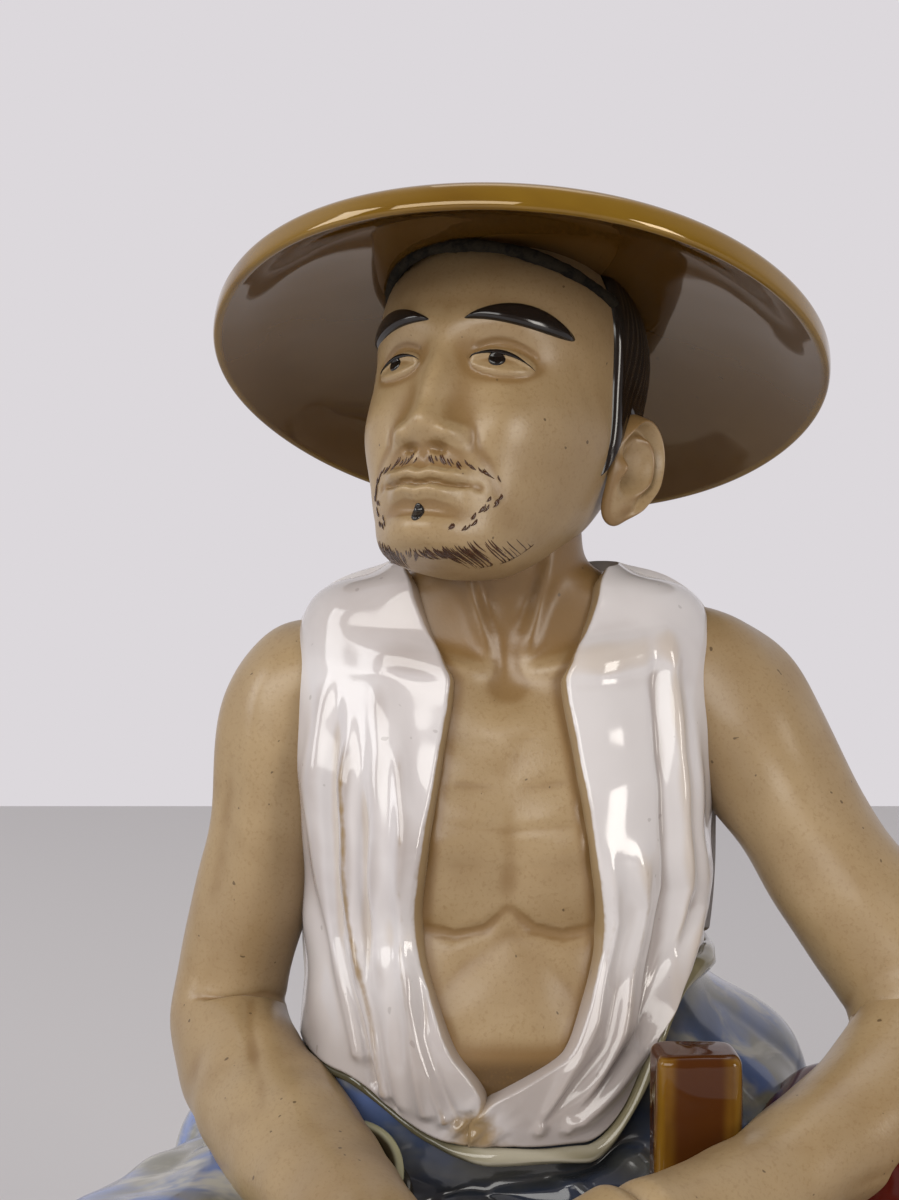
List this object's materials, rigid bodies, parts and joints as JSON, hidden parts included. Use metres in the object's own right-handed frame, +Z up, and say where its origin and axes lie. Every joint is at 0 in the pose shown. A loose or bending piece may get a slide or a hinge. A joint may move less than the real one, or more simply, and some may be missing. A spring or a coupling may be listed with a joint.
{
  "type": "seated fisherman figurine",
  "caption": "Glazed stoneware figurine of a seated fisherman in a cone hat and open vest, resting his crossed hands over an oar and a small pot.",
  "frame": {"origin": "on the ground under the middle of the figurine's bounding box", "axes": "+Z up, the figure faces -Y, and its left hand is on the +X side"},
  "size_m": [0.1786, 0.1488, 0.2508],
  "materials": {
    "amber_glaze": "glossy amber-brown glaze, darker where it pools",
    "bare_clay": "bare buff stoneware with a satin sheen and fine pits",
    "black_glaze": "glossy black glaze",
    "slip": "rough grey-green slip",
    "white_glaze": "thick glossy white glaze, thin and tan at the edges",
    "olive_glaze": "glossy olive glaze",
    "celadon_glaze": "glossy pale green glaze, dark brown inside",
    "blue_glaze": "glossy blue glaze with olive and white streaks",
    "rock_glaze": "mottled olive and brown glaze over rough clay",
    "oxblood_glaze": "glossy red-brown glaze"
  },
  "bodies": {
    "root": {"hat": "amber_glaze", "head": "bare_clay", "hair": "black_glaze", "right_ear": "bare_clay", "left_ear": "bare_clay", "hat_bedding": "slip", "torso": "bare_clay", "vest_back": "white_glaze", "vest_right_front": "white_glaze", "vest_left_front": "white_glaze", "waistband": "olive_glaze", "oar": "amber_glaze", "bait_pot": "celadon_glaze", "right_hand": "bare_clay", "left_hand": "bare_clay", "right_arm": "bare_clay", "left_arm": "bare_clay", "trouser_seat": "blue_glaze", "right_lower_leg": "bare_clay", "left_lower_leg": "bare_clay", "right_trouser_leg": "blue_glaze", "left_trouser_leg": "blue_glaze", "rock_base": "rock_glaze", "side_boulder": "oxblood_glaze"}
  },
  "joints": []
}
